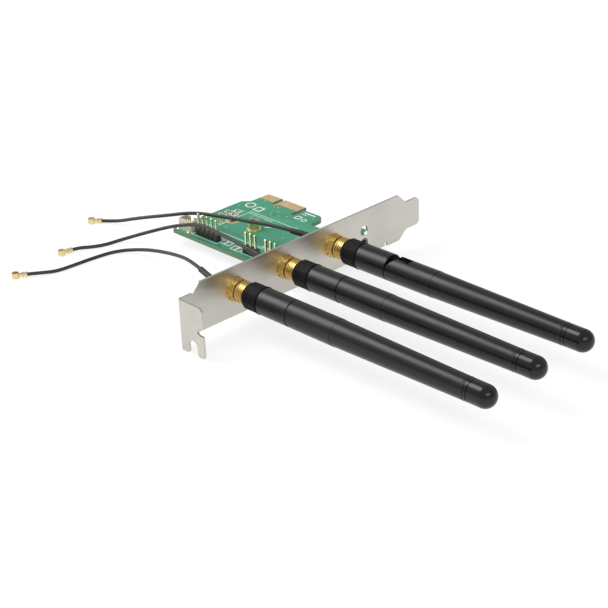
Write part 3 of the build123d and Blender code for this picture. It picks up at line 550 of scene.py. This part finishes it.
def laySkin(v):
    # A thin U-shaped skin round the tip, carried across it, drawn in at both ends by the round of the corners.
    top, low, out, back = place["boardTop"], place["boardLow"], v["skin"], v["under"]
    outer = [
        (v["inner"], top + out), (v["bevel"], top + out), (v["tip"] + out, top - v["bevelDrop"]),
        (v["tip"] + out, low + v["bevelDrop"]), (v["bevel"], low - out), (v["inner"], low - out),
    ]
    inner = [
        (v["inner"], low + back), (v["bevel"] - back, low + back), (v["tip"] - back, low + v["bevelDrop"] + back),
        (v["tip"] - back, top - v["bevelDrop"] - back), (v["bevel"] - back, top - back), (v["inner"], top - back),
    ]
    profile = np.array(outer + inner)
    ease = np.array(v["easing"]) * v["corner"]
    blocks = []
    for first, last in v["blocks"]:
        y = np.concatenate([first + ease, last - ease[::-1]])
        inset = v["corner"] - np.minimum(np.minimum(y - first, last - y), v["corner"])
        drawn = v["corner"] - np.sqrt(v["corner"] ** 2 - inset**2)
        reach = profile[:, 0] - v["inner"]
        x = v["inner"] + reach[None] * (1 - drawn[:, None] / (v["tip"] - v["inner"]))
        z = np.broadcast_to(profile[:, 1], x.shape)
        blocks.append((np.stack([along(x), np.broadcast_to(behind(y)[:, None], x.shape), z], axis=2), False))
    gridPiece("bareLaminate", blocks, "laminate")


laySkin(fingers)


# small parts soldered flat, and the corner connector's solder tabs
chips = {
    "capacitors": {
        "places": ((96.8, 54.8), (80.9, 65.4), (77.3, 65.4), (90.4, 20.5), (90.4, 23.4), (71.5, 60.4)),
        "size": (1.0, 1.7), "height": 0.9, "surface": "capacitor_body", "slot": "capacitor_body",
    },
    "resistors": {
        "places": ((83.8, 63.4), (80.5, 62.2), (92.0, 12.6), (94.6, 12.6), (66.4, 62.6)),
        "size": (0.9, 1.6), "height": 0.5, "surface": "resistor_body", "slot": "resistor_body",
    },
    "bodyEdge": ((0.12, 0), (0.03, 0.03), (0, 0.1)),   # how far below the top, and how far drawn in there
    "body": {"corner": 0.08, "shorter": 0.2},
    "end": {"corner": 0.09, "length": 0.42, "grow": 0.03, "lift": 0.02, "shoulder": 0.08, "round": 0.1},
    "fillet": {"corner": 0.12, "reach": 0.45, "under": 0.2, "foot": 0.06, "climb": 0.45, "round": 0.2},
    "pad": {"corner": 0.14, "wider": 0.35, "longer": 0.6, "thick": 0.045},
    "tabs": (  # centre, size
        ((57.35, 68.3), (1.2, 1.1)), ((57.35, 62.5), (1.2, 1.1)), ((62.9, 67.3), (0.9, 0.5)),
        ((62.9, 66.0), (0.9, 0.5)), ((62.9, 64.8), (0.9, 0.5)), ((62.9, 63.5), (0.9, 0.5)),
    ),
    "tab": {"corner": 0.12, "foot": 0.08, "height": 0.3, "round": 0.25, "padCorner": 0.16, "padWider": 0.4},
}


def solderChips(v):
    top = place["boardTop"]
    body, end, fillet, pad, tab = v["body"], v["end"], v["fillet"], v["pad"], v["tab"]
    padLevels = [(top, 0), (top + pad["thick"], 0)]
    ends, pads = [], []
    for name in ("capacitors", "resistors"):
        kind = v[name]
        (a, b), h = kind["size"], kind["height"]
        levels = [(top, 0)] + [(top + h - down, inset) for down, inset in v["bodyEdge"]]
        bodies = [block(c, (a, b - body["shorter"]), body["corner"], levels) for c in kind["places"]]
        gridPiece(name + "Bodies", bodies, kind["surface"], standsFor=(name,))
        shell = [(top + end["lift"], 0), (top + h - end["shoulder"], 0), (top + h + end["grow"], end["round"])]
        slope = [(top, 0), (top + fillet["foot"], 0), (top + h * fillet["climb"], fillet["round"])]
        for x, y in kind["places"]:
            for side in (-1, 1):
                cap = (x, y + side * (b - end["length"]) / 2)
                ends.append(block(cap, (a + end["grow"], end["length"]), end["corner"], shell))
                foot = (x, y + side * (b + fillet["reach"]) / 2 - side * fillet["corner"])
                ends.append(block(foot, (a, fillet["reach"] + fillet["under"]), fillet["corner"], slope))
                padSize = (a + pad["wider"], fillet["reach"] + pad["longer"])
                pads.append(block(foot, padSize, pad["corner"], padLevels))
    tabLevels = [(top, 0), (top + tab["foot"], 0), (top + tab["height"], tab["round"])]
    for centre, size in v["tabs"]:
        padSize = (size[0] + tab["padWider"], size[1] + tab["padWider"])
        pads.append(block(centre, padSize, tab["padCorner"], padLevels))
        ends.append(block(centre, size, tab["corner"], tabLevels))
    gridPiece("chipEnds", ends, "solder")
    gridPiece("chipPads", pads, "contact_gold")


solderChips(chips)


# solder under the headers, and the board's covered tracks and small plated holes
tracks = {
    "usbX": 59.4, "usbBack": 53.4, "usbCount": 5,
    "jumperX": 59.6, "jumperBacks": (29.4, 18.6), "jumperCount": 3,
    "cornerX": 60.2, "cornerBack": 65.4, "cornerCount": 4, "cornerPitch": 1.25,
    "pitch": 2.54,
    "joint": ((4.48, 0.95), (4.4, 0.92), (4.15, 0.62), (3.86, 0.46), (3.8, 0.36)),
    "smallJoint": ((4.48, 0.5), (4.4, 0.48), (4.2, 0.3), (4.14, 0.2)),
    "width": 0.26, "apart": 0.3, "rise": 0.022, "sunk": 0.01,
    "pairs": (  # middle line of two tracks side by side
        ((98.0, 48.8), (92.4, 48.8), (90.2, 46.6), (90.2, 27.0), (84.6, 21.4), (84.6, 14.6)),
        ((98.0, 52.8), (91.6, 52.8), (88.8, 50.0), (88.8, 28.4), (81.6, 21.2), (81.6, 14.6)),
        (
            (98.0, 61.9), (90.6, 61.9), (88.2, 59.5), (88.2, 52.0),
            (84.9, 48.7), (84.9, 27.6), (78.6, 21.3), (78.6, 14.6),
        ),
    ),
    "singles": (
        ((98.0, 64.9), (87.6, 64.9), (85.0, 67.5), (72.0, 67.5), (68.4, 63.9), (62.6, 63.9)),
        ((61.4, 55.9), (63.4, 55.9), (67.2, 52.1), (67.2, 22.0), (69.6, 19.6), (69.6, 14.6)),
        ((61.4, 53.4), (62.6, 53.4), (66.2, 49.8), (66.2, 21.0), (68.2, 19.0), (68.2, 14.6)),
        ((61.6, 31.9), (63.8, 31.9), (71.4, 24.3), (71.4, 14.6)),
        ((61.6, 29.4), (63.2, 29.4), (72.6, 20.0), (72.6, 14.6)),
        (
            (61.6, 18.6), (63.8, 18.6), (66.0, 16.4), (66.0, 8.0),
            (70.0, 4.0), (88.0, 4.0), (91.4, 7.4), (91.4, 10.8),
        ),
        ((90.4, 25.2), (90.4, 26.4), (92.0, 28.0), (92.0, 34.6), (94.4, 34.6)),
        ((71.5, 57.8), (71.5, 52.6), (73.6, 50.5)),
    ),
    "underPairs": (0, 2),           # which of them run on the underside too
    "underSingles": (1, 2, 3, 4, 5),
    "holes": (
        (70.2, 63.6), (74.8, 63.6), (85.6, 61.4), (88.0, 67.2), (93.2, 57.6), (93.8, 50.8), (92.6, 44.6),
        (87.0, 44.0), (83.2, 55.2), (83.6, 36.4), (87.6, 34.0), (70.0, 55.0), (69.2, 44.4), (71.8, 34.6),
        (77.4, 31.0), (81.4, 27.0), (64.6, 48.0), (63.8, 38.0), (64.4, 24.4), (74.4, 25.6), (90.0, 14.8),
        (98.4, 8.4), (96.0, 12.6), (86.0, 6.4), (70.6, 6.4), (62.0, 8.0), (97.6, 35.2), (98.2, 62.9),
    ),
    "cover": {"radius": 0.52, "width": 0.3, "steps": 16, "rise": 0.8},   # mask over a hole's ring, a share as high
    "rim": {"radius": 0.24, "width": 0.2, "steps": 12, "proud": 0.03},
}


def rowPlaces(x, back, count, pitch):  # a row of pins, evenly to both sides of its middle
    return [(x, back + (k - (count - 1) / 2) * pitch) for k in range(count)]


def layTracks(v):
    top, low, rise, sunk = place["boardTop"], place["boardLow"], v["rise"], v["sunk"]
    pins = rowPlaces(v["usbX"], v["usbBack"], v["usbCount"], v["pitch"])
    for back in v["jumperBacks"]:
        pins += rowPlaces(v["jumperX"], back, v["jumperCount"], v["pitch"])
    small = rowPlaces(v["cornerX"], v["cornerBack"], v["cornerCount"], v["cornerPitch"])
    joints = [turned(c, v["joint"]) for c in pins] + [turned(c, v["smallJoint"]) for c in small]
    gridPiece("solderJoints", joints, "solder", sharp=60)
    lines = []
    for path in v["pairs"]:
        middle, step = mitres(path)
        for side in (-v["apart"], v["apart"]):
            lines.append(stroke(middle + step * side, v["width"], top - sunk, top + rise))
    lines += [stroke(path, v["width"], top - sunk, top + rise) for path in v["singles"]]
    under = [v["singles"][k] for k in v["underSingles"]] + [v["pairs"][k] for k in v["underPairs"]]
    lines += [stroke(path, v["width"], low - rise, low + sunk) for path in under]
    cover, rim = v["cover"], v["rim"]
    covers = [circle(c, cover["radius"], cover["steps"]) for c in v["holes"]]
    proud = rise * cover["rise"]
    lines += [stroke(ring, cover["width"], top - sunk, top + proud, True) for ring in covers]
    lines += [stroke(ring, cover["width"], low - proud, low + sunk, True) for ring in covers]
    gridPiece("coveredTracks", lines, "trace")
    rims = [circle(c, rim["radius"], rim["steps"]) for c in v["holes"]]
    dots = [stroke(ring, rim["width"], low - rim["proud"], top + rim["proud"], True) for ring in rims]
    gridPiece("platedHoles", dots, "contact_gold")


layTracks(tracks)
print("board dressed")


# the collars; each profile runs out from the bracket's face: distance, radius
collars = {
    "facets": 10, "softness": 0.75, "around": 240,
    "outer": (
        (7.1, 4.25), (7.5, 4.55), (8.4, 5.08), (9.0, 5.1), (13.6, 5.1), (14.3, 5.08), (14.6, 5.0), (14.7, 4.85),
    ),
    "inner": ((14.7, 2.62), (13.5, 2.62), (13.5, 4.02), (7.1, 4.02)),
    "faceted": (8.4, 13.6),
}


def makeCollar(number, x, v):
    # A closed profile spun round the antenna's axis; between two stations its outside is softly faceted: the
    # radius leans, by the softness, from the circle towards a polygon inside it.
    profile = np.array(v["outer"] + v["inner"])
    turn = np.linspace(0, 2 * np.pi, v["around"], endpoint=False)[:, None]
    outwards = np.arange(len(profile)) < len(v["outer"])
    faceted = outwards & (profile[:, 0] >= v["faceted"][0]) & (profile[:, 0] <= v["faceted"][1])
    half = np.pi / v["facets"]
    polygon = np.cos(half) / np.cos(turn % (2 * half) - half)
    radius = profile[None, :, 1] * (1 - v["softness"] * (1 - polygon) * faceted[None])
    y = np.broadcast_to(place["faceY"] - profile[None, :, 0], radius.shape)
    points = np.stack([x + radius * np.cos(turn), y, place["axisZ"] + radius * np.sin(turn)], axis=2)
    name = f"collar_{number}"
    gridPiece(f"facetedCollar{number}", [(points, True)], "grip_plastic", standsFor=(name,))


def spun(x, profile, steps=120):
    # A profile of distances out from the bracket and radii, spun round an antenna's axis.
    out, radius = np.array(profile, float).T
    turn = np.linspace(0, 2 * np.pi, steps, endpoint=False)
    y = np.broadcast_to(place["faceY"] - out[:, None], (len(out), steps))
    across, up = radius[:, None] * np.cos(turn), radius[:, None] * np.sin(turn)
    return np.stack([x + across, y, place["axisZ"] + up], axis=2), False


tips = {
    "spigotStart": 102.46, "spigotRadius": 2.5, "start": 105.46, "radius": 3.95, "end": 115.5,
    "groove": (106.6, 0.4, 0.22),   # start, width, depth
    "edge": 0.12,
    "stations": (108.6, 110.2),     # more points along the tube
    "ballSteps": 40,
    "pole": 0.012,                  # turn left open at the ball's pole, closed by a cap
    "spigotPole": 0.03,             # radius left for the cap at the spigot's end
}


def makeTip(number, x, v):
    # A short tube with a groove, closed by half a ball: distance out is the ball's middle plus the radius
    # times the sine of the turn, and the radius falls with its cosine.
    r, edge = v["radius"], v["edge"]
    start, width, depth = v["groove"]
    ball = v["end"] - r
    turn = np.linspace(0, np.pi / 2 - v["pole"], v["ballSteps"])
    profile = [(v["spigotStart"], v["spigotPole"]), (v["spigotStart"], v["spigotRadius"])]
    profile += [(v["start"], v["spigotRadius"]), (v["start"], r - edge), (v["start"] + edge, r)]
    profile += [(start, r), (start + edge, r - depth), (start + width - edge, r - depth), (start + width, r)]
    profile += [(out, r) for out in v["stations"]]
    profile += list(zip(ball + r * np.sin(turn), r * np.cos(turn)))
    name, body = f"tip_cap_{number}", f"antenna_{number}_rod"
    gridPiece(f"smoothTip{number}", [spun(x, profile)], "tip", body, standsFor=(name,))


tipRings = {
    "at": 104.65,   # out from the bracket's face, just before the cap's joint
    "radius": 3.93, "rise": 0.1, "sunk": 0.12, "width": 0.55, "around": 96, "steps": 9,
}


def makeTipRings(number, x, v):
    # A low bead round the rod: a profile of half a cosine wave over a flat base, spun round the axis.
    wave = np.linspace(-1, 1, v["steps"])
    turn = np.linspace(0, 2 * np.pi, v["around"], endpoint=False)[:, None]
    out = v["at"] + v["width"] / 2 * np.concatenate([wave, wave[::-1]])
    radius = v["radius"] + np.concatenate([v["rise"] * np.cos(wave * np.pi / 2), np.full(v["steps"], -v["sunk"])])
    y = np.broadcast_to(place["faceY"] - out, (len(turn), len(out)))
    points = np.stack([x + radius * np.cos(turn), y, place["axisZ"] + radius * np.sin(turn)], axis=2)
    gridPiece(f"tipRings{number}", [(points, True)], "tip", f"antenna_{number}_rod")


for number, x in enumerate(place["jackX"], start=1):
    makeCollar(number, x, collars)
    makeTip(number, x, tips)
    makeTipRings(number, x, tipRings)
print("collars and tips made")


# the floor and the light
studio = {
    "floorHalf": 3.0,
    "floorDrop": 0.00002,
    "floorWhite": 0.9,
    "floorGlow": 0.8,       # what the camera sees of the floor besides the light on it
    "floorShade": 0.26,     # how strongly shadows show on it
    "roomStrength": 0.5,    # pale room round the object
    "lamps": {
        # behind the bracket, mirrored along the rods
        "softbox": {"direction": (-0.29, 0.66, 0.69), "distance": 0.95, "size": (0.44, 0.8), "power": 5.8},
        # above the camera, mirrored in the tips
        "frontLamp": {"direction": (-0.27, -0.74, 0.61), "distance": 1.0, "size": (0.6, 0.25), "power": 1.8},
    },
}


def makeFloor(v):
    s, z = v["floorHalf"], -v["floorDrop"]
    mesh = bpy.data.meshes.new("floor")
    mesh.from_pydata([(-s, -s, z), (s, -s, z), (s, s, z), (-s, s, z)], [], [(0, 1, 2, 3)])
    floor = bpy.data.objects.new("floor", mesh)
    bpy.context.scene.collection.objects.link(floor)
    f = Finish("floorPaper", (v["floorWhite"],) * 3 + (1,), 0.9)
    # for the camera, mirrors and clear parts the floor glows nearly white and keeps its shadows
    path = f.tree.nodes.new("ShaderNodeLightPath")
    seen = f.tree.nodes.new("ShaderNodeMath")
    seen.operation = "MAXIMUM"
    either = f.tree.nodes.new("ShaderNodeMath")
    either.operation = "MAXIMUM"
    f.tree.links.new(path.outputs["Is Camera Ray"], seen.inputs[0])
    f.tree.links.new(path.outputs["Is Glossy Ray"], seen.inputs[1])
    f.tree.links.new(seen.outputs[0], either.inputs[0])
    f.tree.links.new(path.outputs["Is Transmission Ray"], either.inputs[1])
    shade = f.tree.nodes.new("ShaderNodeBsdfDiffuse")
    shade.inputs["Color"].default_value = (v["floorShade"],) * 3 + (1,)
    glow = f.tree.nodes.new("ShaderNodeEmission")
    glow.inputs["Strength"].default_value = v["floorGlow"]
    both = f.tree.nodes.new("ShaderNodeAddShader")
    f.tree.links.new(shade.outputs[0], both.inputs[0])
    f.tree.links.new(glow.outputs[0], both.inputs[1])
    mix = f.tree.nodes.new("ShaderNodeMixShader")
    f.tree.links.new(either.outputs[0], mix.inputs["Fac"])
    f.tree.links.new(f.shader.outputs[0], mix.inputs[1])
    f.tree.links.new(both.outputs[0], mix.inputs[2])
    f.tree.links.new(mix.outputs[0], f.tree.nodes["Material Output"].inputs["Surface"])
    mesh.materials.append(f.material)


def makeStudio(v):
    makeFloor(v)
    world = bpy.data.worlds.new("studio")
    bpy.context.scene.world = world
    world.use_nodes = True
    tree = world.node_tree
    background = tree.nodes["Background"]
    background.inputs["Color"].default_value = (1, 1, 1, 1)
    background.inputs["Strength"].default_value = v["roomStrength"]
    for name, lamp in v["lamps"].items():
        data = bpy.data.lights.new(name, "AREA")
        data.shape = "RECTANGLE"
        data.size, data.size_y = lamp["size"]
        data.energy = lamp["power"]
        light = bpy.data.objects.new(name, data)
        light.location = Vector(lamp["direction"]).normalized() * lamp["distance"]
        light.rotation_euler = light.location.to_track_quat("Z", "Y").to_euler()
        bpy.context.scene.collection.objects.link(light)


makeStudio(studio)
print("studio lit")
